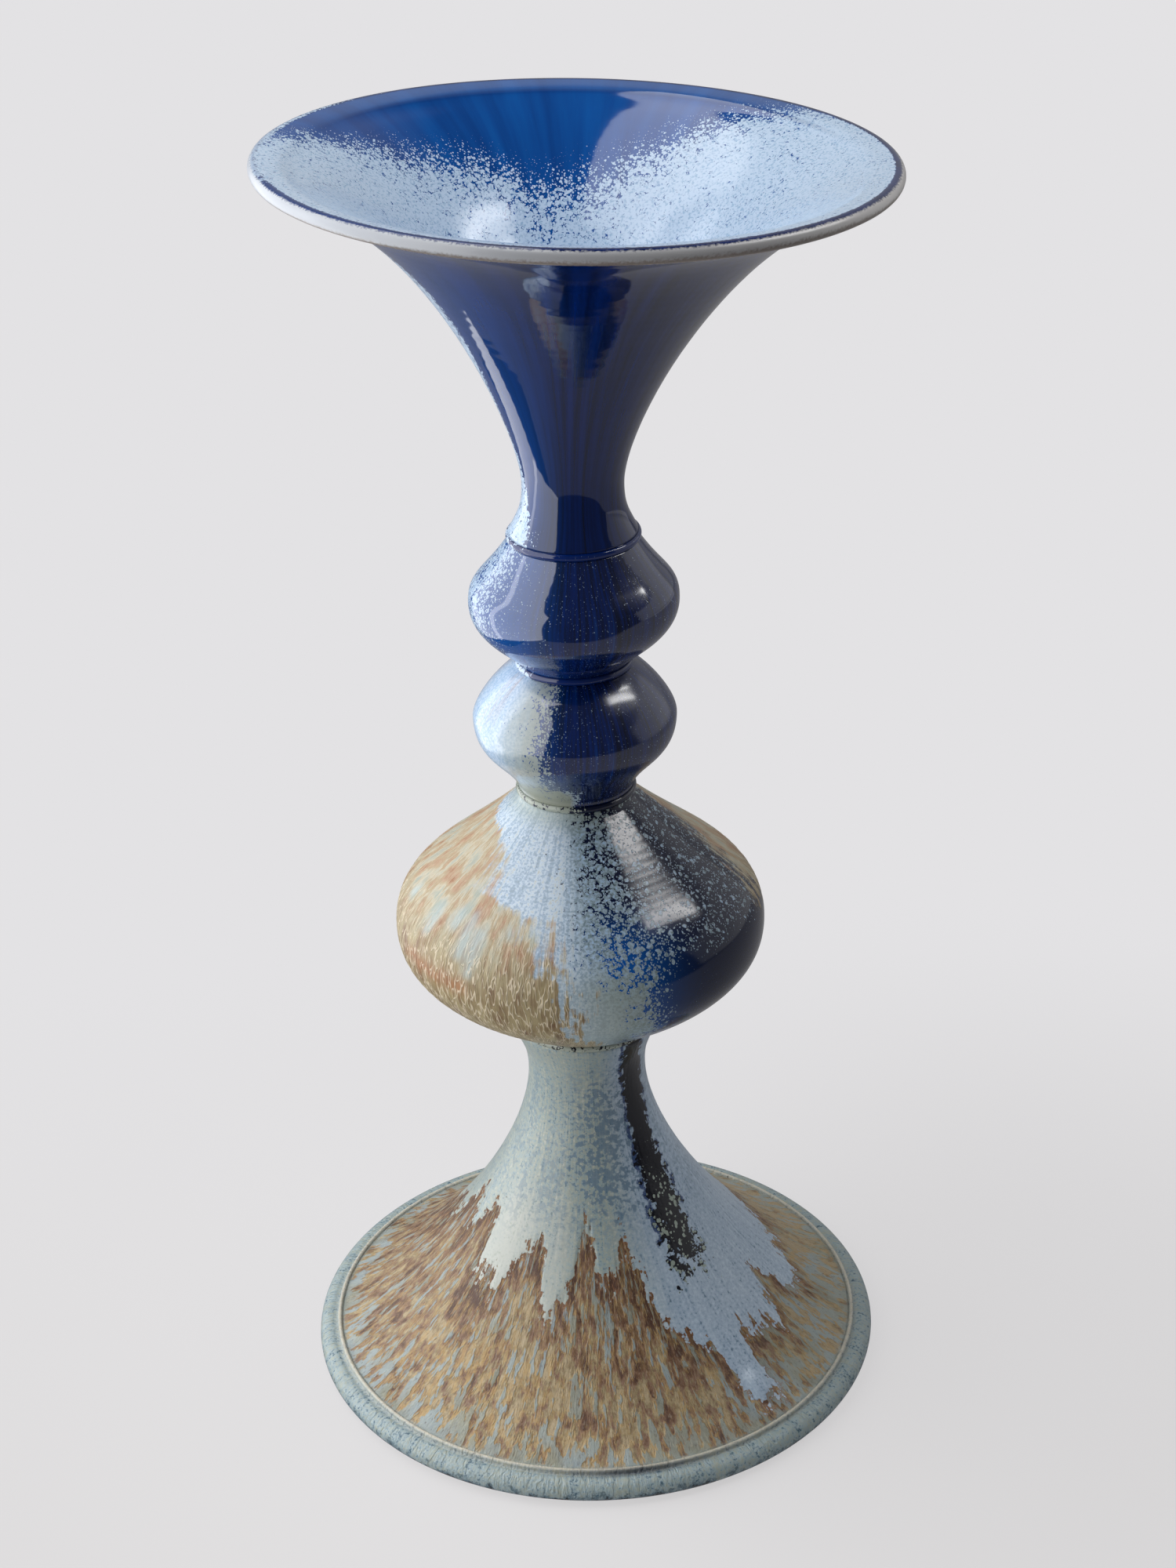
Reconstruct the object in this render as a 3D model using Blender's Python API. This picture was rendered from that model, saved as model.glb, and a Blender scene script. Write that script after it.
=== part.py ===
"""A hand-thrown stoneware vase: five hollow sections, stacked on one axis and luted with rings of clay.

Each section is a closed turned profile, drawn in its own frame with its base at height zero.
Profiles are lists of (radius, height) points. The outer side runs upwards and the inner side runs back down.
"""

import math

import bmesh
import bpy
from mathutils import Vector
from mathutils.geometry import interpolate_bezier

for old in list(bpy.data.objects):
    bpy.data.objects.remove(old, do_unlink=True)

MM = 0.001

# Fineness of the turned surfaces
SEGMENTS = 40
BEAD_STEPS = 6
BULB_STEPS = 8
STEM_STEPS = 4
THROAT_STEPS = 5
LONG_STEPS = 11
ROLL_STEPS = 5
RING_STEPS = 3
SHARP_ANGLE = math.radians(35)
WELD_DISTANCE = 0.00001

# Joints: each section stands on a luting ring, which stands on the section below
SEAT_GAP = 0.3 * MM
SEAT_WIDTH = 7.0 * MM
RING_HEIGHT = 2.4 * MM
RING_BULGE = 1.1 * MM

# Neck radii at the joints, shared by the two sections that meet there
BULB_BASE_RADIUS = 34.3 * MM
COLLAR_RADIUS = 26.4 * MM
WAIST_RADIUS = 25.6 * MM
THROAT_RING_RADIUS = 28.7 * MM

# Foot: rounded edge band, ridge line, bell-shaped skirt and a stem that opens again under the bulb
FOOT_RADIUS = 137.2 * MM
SKIRT_HEIGHT = 154.4 * MM
STEM_RADIUS = 27.3 * MM
STEM_FLARE_HEIGHT = 26.7 * MM
FOOT_WALL = 7.0 * MM
BAND_WIDTH = 8.0 * MM
BAND_HEIGHT = 12.0 * MM
BAND_END_DEGREES = 75
RIDGE_WIDTH = 3.2 * MM
RIDGE_RISE = 1.3 * MM
SKIRT_EDGE_HEIGHT = 12.6 * MM

# Main bulb: its floor closes the vessel
BULB_RADIUS = 85.0 * MM
BULB_LOWER_HEIGHT = 51.4 * MM
BULB_UPPER_HEIGHT = 64.3 * MM
BULB_COLLAR_HEIGHT = 1.9 * MM
BULB_WALL = 8.0 * MM
FLOOR_THICKNESS = 9.0 * MM

# Lower bead, with the upper half of the collar under it
LOWER_BEAD_RADIUS = 45.7 * MM
LOWER_BEAD_COLLAR_HEIGHT = 1.9 * MM
LOWER_BEAD_LOWER_HEIGHT = 32.7 * MM
LOWER_BEAD_UPPER_HEIGHT = 25.0 * MM

# Upper bead
UPPER_BEAD_RADIUS = 46.5 * MM
UPPER_BEAD_LOWER_HEIGHT = 27.7 * MM
UPPER_BEAD_UPPER_HEIGHT = 29.1 * MM
BEAD_WALL = 6.5 * MM

# Trumpet: throat, flare and thickened lip
THROAT_RADIUS = 22.2 * MM
THROAT_HEIGHT = 22.0 * MM
FLARE_HEIGHT = 135.9 * MM
MOUTH_RADIUS = 134.0 * MM
TRUMPET_WALL = 5.8 * MM
LIP_THICKNESS = 6.6 * MM
LIP_BAND_WIDTH = 11.0 * MM

# Pulls of the throwing curves: how far a curve keeps its end's direction,
# as shares of its span in radius and in height
SKIRT_EDGE_PULL = (0.49, 0.17)
SKIRT_STEM_PULL = (0.0, 0.30)
STEM_PULL_ABOVE = (0.0, 0.50)
STEM_FLARE_PULL = (0.50, 0.40)
BULB_BASE_PULL = (0.77, 0.48)
BULB_BELLY_PULL_BELOW = (0.0, 0.35)
BULB_BELLY_PULL_ABOVE = (0.0, 0.36)
BULB_COLLAR_PULL = (0.67, 0.58)
BEAD_BELLY_PULL_BELOW = (0.0, 0.50)
LOWER_BEAD_COLLAR_PULL = (0.48, 0.50)
LOWER_BEAD_BELLY_PULL_ABOVE = (0.0, 0.225)
LOWER_BEAD_WAIST_PULL = (0.425, 0.155)
UPPER_BEAD_WAIST_PULL = (0.28, 0.285)
UPPER_BEAD_BELLY_PULL_ABOVE = (0.0, 0.37)
UPPER_BEAD_CROWN_PULL = (0.73, 0.69)
THROAT_BASE_PULL = (0.70, 0.39)
THROAT_PULL_BELOW = (0.0, 0.47)
THROAT_PULL_ABOVE = (0.0, 0.21)
FLARE_LIP_PULL = (0.54, 0.068)

# Fired colours: base colour and roughness
COBALT_GLAZE = ((0.005, 0.022, 0.16), 0.12)
SPECKLED_BLUE_GLAZE = ((0.10, 0.18, 0.36), 0.20)
OCHRE_AND_BLUE_GLAZE = ((0.24, 0.21, 0.15), 0.38)
CELADON_AND_BROWN_GLAZE = ((0.25, 0.22, 0.17), 0.42)
NAVY_GLAZE = ((0.008, 0.02, 0.09), 0.15)
CELADON_GLAZE = ((0.30, 0.38, 0.38), 0.30)


def curve(start, end, start_pull, end_pull, steps):
    """Points of a smooth curve from start to end, with both ends."""
    start = Vector(start)
    end = Vector(end)
    span = end - start
    leave = start + Vector((span.x * start_pull[0], span.y * start_pull[1]))
    arrive = end - Vector((span.x * end_pull[0], span.y * end_pull[1]))
    return [Vector(point[:2]) for point in interpolate_bezier(start, leave, arrive, end, steps + 1)]


def chain(*curves):
    """One run of points through curves that follow each other."""
    points = list(curves[0])
    for following in curves[1:]:
        points += following[1:]
    return points


def arc(centre, radius_across, radius_up, first_degrees, last_degrees, steps):
    """Points of an ellipse's arc about a centre."""
    points = []
    for step in range(steps + 1):
        angle = math.radians(first_degrees + (last_degrees - first_degrees) * step / steps)
        offset = Vector((radius_across * math.cos(angle), radius_up * math.sin(angle)))
        points.append(Vector(centre) + offset)
    return points


def inward_normal(points, index):
    """Direction from an upward-running outer side into the wall."""
    before = points[max(index - 1, 0)]
    after = points[min(index + 1, len(points) - 1)]
    along = (after - before).normalized()
    return Vector((-along.y, along.x))


def inner_side(outer, wall):
    """The wall's inner side, at one wall thickness from the outer side, running upwards."""
    return [point + inward_normal(outer, index) * wall for index, point in enumerate(outer)]


def between(points, low, high, keep_every=2):
    """Every second point of an inner side that lies inside a section's two ends."""
    inside = [point for point in points if low + SEAT_GAP < point.y < high - SEAT_GAP]
    return inside[::keep_every]


def radius_at(points, height):
    """Radius of an upward-running side at a height."""
    for lower, upper in zip(points, points[1:]):
        if lower.y <= height <= upper.y:
            share = (height - lower.y) / max(upper.y - lower.y, WELD_DISTANCE)
            return lower.x + (upper.x - lower.x) * share
    return points[0].x


def tube(outer, wall, low_radius, high_radius):
    """Closed profile of a section that is open at both ends, with flat seats one seat wide."""
    low = outer[0].y
    high = outer[-1].y
    inner = between(inner_side(outer, wall), low, high)
    inner = [Vector((low_radius - SEAT_WIDTH, low)), *inner, Vector((high_radius - SEAT_WIDTH, high))]
    return [*outer, *reversed(inner)]


def foot_profile():
    band_start = FOOT_RADIUS - BAND_WIDTH
    band_centre = (band_start, BAND_HEIGHT / 2)
    band = arc(band_centre, BAND_WIDTH, BAND_HEIGHT / 2, -90, BAND_END_DEGREES, ROLL_STEPS)
    groove = Vector((band_start, SKIRT_EDGE_HEIGHT - RIDGE_RISE))
    crest = Vector((band_start - RIDGE_WIDTH / 2, SKIRT_EDGE_HEIGHT + RIDGE_RISE))
    skirt_edge = (band_start - RIDGE_WIDTH, SKIRT_EDGE_HEIGHT)
    stem = (STEM_RADIUS, SKIRT_HEIGHT)
    top = SKIRT_HEIGHT + STEM_FLARE_HEIGHT
    skirt = curve(skirt_edge, stem, SKIRT_EDGE_PULL, SKIRT_STEM_PULL, LONG_STEPS)
    flare = curve(stem, (BULB_BASE_RADIUS, top), STEM_PULL_ABOVE, STEM_FLARE_PULL, STEM_STEPS)
    outer = chain(skirt, flare)

    underside = inner_side(outer, FOOT_WALL)
    foot_ring_edge = Vector((underside[0].x, 0.0))
    stem_bore = Vector((BULB_BASE_RADIUS - SEAT_WIDTH, top))
    underside = [foot_ring_edge, *between(underside, 0.0, top), stem_bore]
    return [*band, groove, crest, *outer, *reversed(underside)]


def bulb_profile():
    belly = (BULB_RADIUS, BULB_LOWER_HEIGHT)
    shoulder = (COLLAR_RADIUS, BULB_LOWER_HEIGHT + BULB_UPPER_HEIGHT)
    top = Vector((COLLAR_RADIUS, shoulder[1] + BULB_COLLAR_HEIGHT))
    lower = curve((BULB_BASE_RADIUS, 0.0), belly, BULB_BASE_PULL, BULB_BELLY_PULL_BELOW, BULB_STEPS)
    upper = curve(belly, shoulder, BULB_BELLY_PULL_ABOVE, BULB_COLLAR_PULL, BULB_STEPS)
    outer = [*chain(lower, upper), top]

    inner = inner_side(outer, BULB_WALL)
    floor_edge = Vector((radius_at(inner, FLOOR_THICKNESS), FLOOR_THICKNESS))
    floor_centre = Vector((0.0, FLOOR_THICKNESS))
    base_centre = Vector((0.0, 0.0))
    bore_top = Vector((COLLAR_RADIUS - SEAT_WIDTH, top.y))
    hollow = [floor_edge, *between(inner, FLOOR_THICKNESS, top.y), bore_top]
    return [base_centre, *outer, *reversed(hollow), floor_centre]


def lower_bead_profile():
    collar_top = (COLLAR_RADIUS, LOWER_BEAD_COLLAR_HEIGHT)
    belly = (LOWER_BEAD_RADIUS, LOWER_BEAD_COLLAR_HEIGHT + LOWER_BEAD_LOWER_HEIGHT)
    waist = (WAIST_RADIUS, belly[1] + LOWER_BEAD_UPPER_HEIGHT)
    lower = curve(collar_top, belly, LOWER_BEAD_COLLAR_PULL, BEAD_BELLY_PULL_BELOW, BEAD_STEPS)
    upper = curve(belly, waist, LOWER_BEAD_BELLY_PULL_ABOVE, LOWER_BEAD_WAIST_PULL, BEAD_STEPS)
    outer = [Vector((COLLAR_RADIUS, 0.0)), *chain(lower, upper)]
    return tube(outer, BEAD_WALL, COLLAR_RADIUS, WAIST_RADIUS)


def upper_bead_profile():
    belly = (UPPER_BEAD_RADIUS, UPPER_BEAD_LOWER_HEIGHT)
    crown = (THROAT_RING_RADIUS, belly[1] + UPPER_BEAD_UPPER_HEIGHT)
    lower = curve((WAIST_RADIUS, 0.0), belly, UPPER_BEAD_WAIST_PULL, BEAD_BELLY_PULL_BELOW, BEAD_STEPS)
    upper = curve(belly, crown, UPPER_BEAD_BELLY_PULL_ABOVE, UPPER_BEAD_CROWN_PULL, BEAD_STEPS)
    return tube(chain(lower, upper), BEAD_WALL, WAIST_RADIUS, THROAT_RING_RADIUS)


def trumpet_profile():
    throat = (THROAT_RADIUS, THROAT_HEIGHT)
    flare_span = Vector((MOUTH_RADIUS - THROAT_RADIUS, FLARE_HEIGHT))
    lip_angle = math.atan2(flare_span.y * FLARE_LIP_PULL[1], flare_span.x * FLARE_LIP_PULL[0])
    lip_round = LIP_THICKNESS / 2
    lip_under = (MOUTH_RADIUS - lip_round * (1 - math.sin(lip_angle)), THROAT_HEIGHT + FLARE_HEIGHT)
    lip_centre = Vector(lip_under) + Vector((-math.sin(lip_angle), math.cos(lip_angle))) * lip_round
    neck = curve((THROAT_RING_RADIUS, 0.0), throat, THROAT_BASE_PULL, THROAT_PULL_BELOW, THROAT_STEPS)
    flare = curve(throat, lip_under, THROAT_PULL_ABOVE, FLARE_LIP_PULL, LONG_STEPS)
    outer = chain(neck, flare)
    lip_degrees = math.degrees(lip_angle)
    lip = arc(lip_centre, lip_round, lip_round, lip_degrees - 90, lip_degrees + 90, ROLL_STEPS)

    ledge_radius = lip[-1].x - LIP_BAND_WIDTH
    inner = inner_side(outer, TRUMPET_WALL)
    bowl = [point for point in inner if point.y > SEAT_GAP and point.x < ledge_radius]
    band_slope = Vector((math.cos(lip_angle), math.sin(lip_angle)))
    ledge_top = lip[-1] - band_slope * LIP_BAND_WIDTH
    bore = Vector((THROAT_RING_RADIUS - SEAT_WIDTH, 0.0))
    return [*outer[:-1], *lip, ledge_top, *reversed(bowl), bore]


def ring_profile(neck_radius):
    """A luting ring that covers a seat and stands a little proud of the neck."""
    bulge = arc((neck_radius, RING_HEIGHT / 2), RING_BULGE, RING_HEIGHT / 2, -90, 90, RING_STEPS)
    bore = neck_radius - SEAT_WIDTH
    return [*bulge, Vector((bore, RING_HEIGHT)), Vector((bore, 0.0))]


def glaze_material(name, colour, roughness):
    material = bpy.data.materials.new(name)
    material.use_nodes = True
    shader = material.node_tree.nodes["Principled BSDF"]
    shader.inputs["Base Color"].default_value = (*colour, 1.0)
    shader.inputs["Roughness"].default_value = roughness
    shader.inputs["Metallic"].default_value = 0.0
    return material


def turned_mesh(name, profile):
    """Spin a profile about the vertical axis into one closed body."""
    body = bmesh.new()
    verts = [body.verts.new((point.x, 0.0, point.y)) for point in profile]
    edges = [body.edges.new(pair) for pair in zip(verts, verts[1:])]
    if profile[0].x > 0.0:
        edges.append(body.edges.new((verts[-1], verts[0])))
    bmesh.ops.spin(
        body, geom=verts + edges, cent=(0, 0, 0), axis=(0, 0, 1),
        angle=math.tau, steps=SEGMENTS, use_merge=True,
    )
    bmesh.ops.remove_doubles(body, verts=body.verts, dist=WELD_DISTANCE)
    bmesh.ops.recalc_face_normals(body, faces=body.faces)
    mesh = bpy.data.meshes.new(name)
    body.to_mesh(mesh)
    body.free()
    mesh.shade_smooth()
    mesh.set_sharp_from_angle(angle=SHARP_ANGLE)
    return mesh


def add_piece(name, profile, base, glaze, parent):
    """Place one turned piece on the axis and return the height of its top seat."""
    piece = bpy.data.objects.new(name, turned_mesh(name, profile))
    piece.data.materials.append(glaze_material(name + "_glaze", *glaze))
    piece.location.z = base
    piece.parent = parent
    bpy.context.scene.collection.objects.link(piece)
    return base + max(point.y for point in profile)


def build_vase():
    vase = bpy.data.objects.new("vase", None)
    bpy.context.scene.collection.objects.link(vase)
    stack = (
        ("foot", foot_profile(), CELADON_AND_BROWN_GLAZE),
        ("foot_joint_ring", ring_profile(BULB_BASE_RADIUS), CELADON_GLAZE),
        ("main_bulb", bulb_profile(), OCHRE_AND_BLUE_GLAZE),
        ("collar_joint_ring", ring_profile(COLLAR_RADIUS), CELADON_GLAZE),
        ("lower_bead", lower_bead_profile(), SPECKLED_BLUE_GLAZE),
        ("waist_joint_ring", ring_profile(WAIST_RADIUS), NAVY_GLAZE),
        ("upper_bead", upper_bead_profile(), SPECKLED_BLUE_GLAZE),
        ("throat_joint_ring", ring_profile(THROAT_RING_RADIUS), NAVY_GLAZE),
        ("trumpet", trumpet_profile(), COBALT_GLAZE),
    )
    base = 0.0
    for name, profile, glaze in stack:
        base = add_piece(name, profile, base, glaze, vase) + SEAT_GAP


build_vase()
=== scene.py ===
"""Looks of the stoneware vase: every turned piece again as a fine mesh with its glaze.

Angles are in degrees about the axis: 0 faces the camera and positive angles go to its right.
Each piece carries fields on its points, such as how thick the pale glaze lies, and the glazes
turn these fields into colour, gloss and grain.
"""

import math

import bpy
import numpy as np
from mathutils import Matrix, Vector, noise


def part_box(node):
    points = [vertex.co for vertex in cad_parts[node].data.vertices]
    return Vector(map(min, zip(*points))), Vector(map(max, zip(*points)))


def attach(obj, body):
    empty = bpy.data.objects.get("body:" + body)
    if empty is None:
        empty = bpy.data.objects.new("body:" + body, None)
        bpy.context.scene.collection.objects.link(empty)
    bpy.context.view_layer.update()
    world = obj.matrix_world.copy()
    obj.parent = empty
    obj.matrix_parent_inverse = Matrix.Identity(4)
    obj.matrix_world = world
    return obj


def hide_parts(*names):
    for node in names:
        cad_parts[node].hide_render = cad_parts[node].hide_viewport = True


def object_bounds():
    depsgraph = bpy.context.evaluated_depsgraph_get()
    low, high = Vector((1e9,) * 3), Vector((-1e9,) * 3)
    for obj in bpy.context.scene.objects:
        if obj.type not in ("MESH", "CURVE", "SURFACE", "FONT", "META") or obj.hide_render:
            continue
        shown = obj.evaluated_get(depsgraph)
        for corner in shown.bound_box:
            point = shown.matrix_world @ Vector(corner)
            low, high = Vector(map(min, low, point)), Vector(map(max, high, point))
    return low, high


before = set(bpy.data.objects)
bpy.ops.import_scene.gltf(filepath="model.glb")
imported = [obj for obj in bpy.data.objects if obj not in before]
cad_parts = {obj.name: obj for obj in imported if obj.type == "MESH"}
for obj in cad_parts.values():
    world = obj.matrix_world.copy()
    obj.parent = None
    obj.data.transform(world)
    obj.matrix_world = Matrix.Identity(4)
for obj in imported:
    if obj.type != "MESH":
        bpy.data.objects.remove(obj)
cad_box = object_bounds()

MM = 0.001

# Refraction of the glazes
STONEWARE_IOR = 1.5
TRUMPET_IOR = 1.65
BEAD_IOR = 1.85

# Roughness of the finishes
WET_GLOSS = 0.06
RING_GLOSS = 0.08
DEEP_GLOSS = 0.12
CRYSTAL_GLOSS = 0.2
HAZY_GLOSS = 0.22
SOFT_GLOSS = 0.24
SATIN = 0.3
RIDGED = 0.38
DRY = 0.42

# Strength and depth of the fine grain
FOOT_BUMP = (0.8, 0.6 * MM)
BULB_BUMP = (0.5, 0.45 * MM)
FLAKE_BUMP = (0.2, 0.2 * MM)
RING_BUMP = (0.1, 0.2 * MM)
FLAKE_RISE = 0.3

# Crystals: how flat they lie, how uneven and soft their edges are, and how far each reaches in its cell
CRYSTAL_FLATNESS = 0.8
CRYSTAL_RIPPLES = 1.6
CRYSTAL_UNEVEN = 0.55
CRYSTAL_EDGE = 0.07
CRYSTAL_REACH = (0.45, 1.2)

# Sockets of a mix node: factor, first and second value, for colours and for numbers
MIX_COLOUR_SOCKETS = (0, 6, 7)
MIX_COLOUR_RESULT = 2
MIX_NUMBER_SOCKETS = (0, 2, 3)
GRAIN_OCTAVES = 2
ON_AXIS = 1e-6

# Fineness of the meshes
FOOT_SEGMENTS = 600
BULB_SEGMENTS = 700
BEAD_SEGMENTS = 360
TRUMPET_SEGMENTS = 300
RING_SEGMENTS = 360
FOOT_SPACING = 1.5 * MM
BULB_SPACING = 1.35 * MM
BEAD_SPACING = 0.8 * MM
TRUMPET_SPACING = 1.4 * MM
UNDER_SPACING = 14.0 * MM
BULB_INNER_STEP = 12
BEAD_INNER_STEP = 9

# Camera, fitted to the photo's outline
CAMERA_PLACE = Vector((0.0024, -1.1720, 0.9052))
CAMERA_TILT = math.radians(62.799)
CAMERA_ROLL = -0.024
CAMERA_LENS = 66.71
CAMERA_SENSOR = 36.0

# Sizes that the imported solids' boxes don't give
RING_BULGE = 1.1 * MM
RING_OVERLAP = 0.4 * MM
SEAT_WIDTH = 7.0 * MM
FOOT_WALL = 7.0 * MM
FOOT_CLEAR = 0.5 * MM
BAND_WIDTH = 8.0 * MM
BAND_HEIGHT = 12.0 * MM
RIDGE_WIDTH = 3.2 * MM
RIDGE_RISE = 1.3 * MM
SKIRT_EDGE_HEIGHT = 12.6 * MM
SKIRT_HEIGHT = 154.4 * MM
STEM_RADIUS = 27.3 * MM
BULB_LOWER_HEIGHT = 51.4 * MM
BULB_COLLAR_HEIGHT = 1.9 * MM
BULB_WALL = 8.0 * MM
BULB_FLOOR = 9.0 * MM
BULB_FLOOR_SHARE = 0.6
BULB_BASIN = 12.0 * MM
LOWER_BEAD_COLLAR_HEIGHT = 1.9 * MM
LOWER_BEAD_BELLY_HEIGHT = 34.6 * MM
UPPER_BEAD_BELLY_HEIGHT = 27.7 * MM
BEAD_WALL = 6.5 * MM
THROAT_RADIUS = 22.2 * MM
THROAT_HEIGHT = 22.0 * MM
TRUMPET_WALL = 5.8 * MM
LIP_ROUND = 3.3 * MM
LIP_ANGLE = math.radians(8.7)
LIP_BAND_WIDTH = 11.0 * MM
LEDGE_SOFTENING = 8

# How far the throwing curves keep their ends' directions, as shares of their spans
SKIRT_PULLS = ((0.49, 0.17), (0.0, 0.30))
STEM_PULLS = ((0.0, 0.50), (0.50, 0.40))
BULB_LOWER_PULLS = ((0.77, 0.48), (0.0, 0.35))
BULB_UPPER_PULLS = ((0.0, 0.36), (0.67, 0.58))
LOWER_BEAD_LOWER_PULLS = ((0.48, 0.50), (0.0, 0.50))
LOWER_BEAD_UPPER_PULLS = ((0.0, 0.225), (0.425, 0.155))
UPPER_BEAD_LOWER_PULLS = ((0.28, 0.285), (0.0, 0.50))
UPPER_BEAD_UPPER_PULLS = ((0.0, 0.37), (0.73, 0.69))
THROAT_PULLS = ((0.70, 0.39), (0.0, 0.47))
FLARE_PULLS = ((0.0, 0.21), (0.54, 0.068))

# The hand of the thrower: a soft bow of the axis, a lean of the mouth and a tilt of the rim
BOW = -3.0 * MM
BOW_HEIGHT = 290 * MM
BOW_SPAN = 150 * MM
MOUTH_LEAN = 4.0 * MM
RIM_TILT = (-0.0354, -0.0010)
RIM_TILT_START = 0.45


def srgb(red, green, blue):
    """A colour as a screen shows it, from 0 to 255, as the linear colour that shaders take."""
    linear = []
    for channel in (red, green, blue):
        share = channel / 255
        linear.append(share / 12.92 if share <= 0.04045 else ((share + 0.055) / 1.055) ** 2.4)
    return (*linear, 1.0)


COBALT = srgb(2, 34, 98)
COBALT_INSIDE = srgb(4, 62, 132)
BRIGHT_COBALT = srgb(8, 80, 156)
DEEP_BLUE = srgb(10, 48, 104)
NAVY = srgb(2, 14, 46)
INK = srgb(16, 18, 28)
PALE_BLUE = srgb(190, 210, 232)
SKY_BLUE = srgb(148, 178, 210)
FROST = srgb(140, 158, 172)
CRYSTAL_GREEN = srgb(152, 164, 154)
WHITE_GLAZE = srgb(182, 186, 180)
CELADON = srgb(156, 164, 154)
PALE_RUN = srgb(168, 186, 190)
CELADON_DIM = srgb(140, 146, 132)
CELADON_BLUE = srgb(146, 164, 170)
PERIWINKLE = srgb(154, 174, 196)
RUN_BLUE = srgb(190, 206, 220)
GAP_BLUE = srgb(94, 120, 142)
SLATE = srgb(98, 118, 124)
TEAL = srgb(66, 94, 110)
OLIVE = srgb(138, 122, 88)
KHAKI = srgb(158, 144, 108)
OCHRE = srgb(180, 148, 92)
TAN = srgb(168, 150, 118)
SAND = srgb(188, 180, 158)
# Cream of the ridges' crests: partly paler glaze and partly a painted highlight
CREAM = srgb(222, 208, 184)
ROSE = srgb(176, 144, 116)
MAUVE = srgb(130, 100, 80)
BROWN = srgb(108, 76, 52)
RUST = srgb(148, 98, 58)
DARK_BROWN = srgb(78, 50, 36)
LIP_WHITE = srgb(166, 172, 182)
LIP_BEIGE = srgb(184, 182, 182)
# Brown-grey of the lip's underside: its clay darkened as painted shade
LIP_BROWN = srgb(122, 112, 106)
LIP_SLATE = srgb(66, 84, 118)


def curve(start, end, pulls, count=160):
    """Points of a smooth curve from start to end."""
    start = np.array(start)
    end = np.array(end)
    span = end - start
    leave = start + span * pulls[0]
    arrive = end - span * pulls[1]
    share = np.linspace(0, 1, count)[:, None]
    rest = 1 - share
    return rest**3 * start + 3 * rest**2 * share * leave + 3 * rest * share**2 * arrive + share**3 * end


def arc(centre, across, up, first, last, count):
    """Points of an ellipse's arc between two angles in degrees."""
    angle = np.radians(np.linspace(first, last, count))
    return np.stack([centre[0] + across * np.cos(angle), centre[1] + up * np.sin(angle)], axis=1)


def even(points, spacing):
    """The same line with evenly spaced points."""
    steps = np.linalg.norm(np.diff(points, axis=0), axis=1)
    along = np.concatenate(([0.0], np.cumsum(steps)))
    count = max(int(round(along[-1] / spacing)), 2)
    wanted = np.linspace(0, along[-1], count + 1)
    return np.stack([np.interp(wanted, along, points[:, axis]) for axis in (0, 1)], axis=1)


def chain(*lines):
    """One line through lines that follow each other."""
    return np.concatenate([lines[0]] + [line[1:] for line in lines[1:]])


def softened(points, passes):
    """The same line with its corners rounded off."""
    line = points.copy()
    for _ in range(passes):
        line[1:-1] = (line[:-2] + 2 * line[1:-1] + line[2:]) / 4
    return line


def normals_of(points):
    """Unit normals on the right-hand side of a line of (radius, height) points."""
    along = np.gradient(points, axis=0)
    across = np.stack([along[:, 1], -along[:, 0]], axis=1)
    return across / np.maximum(np.linalg.norm(across, axis=1), 1e-9)[:, None]


def inner_side(outer, wall, low, high):
    """The wall's inner side between two heights, running upwards."""
    line = outer - normals_of(outer) * wall
    return line[(line[:, 1] > low) & (line[:, 1] < high) & (line[:, 0] > 0)]


def smooth(value, low, high):
    """0 below low, 1 above high and an even slope between them."""
    share = np.clip((value - low) / (high - low), 0, 1)
    return share * share * (3 - 2 * share)


def fade(value, low, high):
    """1 below low, 0 above high and an even slope between them."""
    return 1 - smooth(value, low, high)


def bell(value, half_width):
    """1 at zero, falling smoothly to 0 on both sides."""
    return np.exp(-((value / half_width) ** 2))


def around(angle, centre):
    """Degrees from a centre, the short way round."""
    return (angle - centre + 180) % 360 - 180


def hump(angle, centre, half_width):
    """1 at a centre angle, falling smoothly to 0 on both sides."""
    return bell(around(angle, centre), half_width)


# Fields fade out between these angles on both sides, so that they meet at the seam at the back
BACK_START = 110
BACK_END = 176


def left_back(angle):
    """1 in front, fading to 0 on the left towards the seam."""
    return smooth(angle, -BACK_END, -BACK_START)


def right_back(angle):
    """1 in front, fading to 0 on the right towards the seam."""
    return fade(angle, BACK_START, BACK_END)


class Turned:
    """A turned piece: its profile, the grid of its points and the fields on them."""

    def __init__(self, name, visible, hidden, segments, closed=True):
        self.name = name
        self.visible = visible
        self.profile = np.concatenate([visible, hidden])
        self.segments = segments
        self.closed = closed
        rows = len(self.profile)
        steps = np.linalg.norm(np.diff(self.profile, axis=0), axis=1)
        along = np.concatenate(([0.0], np.cumsum(steps)))
        self.angle = np.tile(np.arange(segments) * 360 / segments - 180, (rows, 1))
        self.radius = np.tile(self.profile[:, :1], (1, segments))
        self.height = np.tile(self.profile[:, 1:], (1, segments))
        self.along = np.tile(along[:, None], (1, segments))
        self.shown = np.zeros((rows, segments))
        self.shown[: len(visible)] = 1.0
        turn = np.radians(self.angle)
        self.flow = np.stack([np.sin(turn), -np.cos(turn), self.along], axis=-1)
        self.swell = np.zeros((rows, segments))
        self.fields = {}

    def grain(self, across, along):
        """Smooth noise from about -1 to 1, as fine as asked round the axis and along the profile."""
        flat = (self.flow * np.array((across, across, along))).reshape(-1, 3)
        values = [noise.fractal(Vector(point), 1.0, 2.0, GRAIN_OCTAVES) for point in flat]
        return np.array(values).reshape(self.angle.shape)

    def points(self):
        normal = normals_of(self.profile)
        radius = self.radius + self.swell * normal[:, :1]
        height = self.height + self.swell * normal[:, 1:]
        place = np.stack([radius * self.flow[..., 0], radius * self.flow[..., 1], height], axis=-1)
        return handmade(place)


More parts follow.
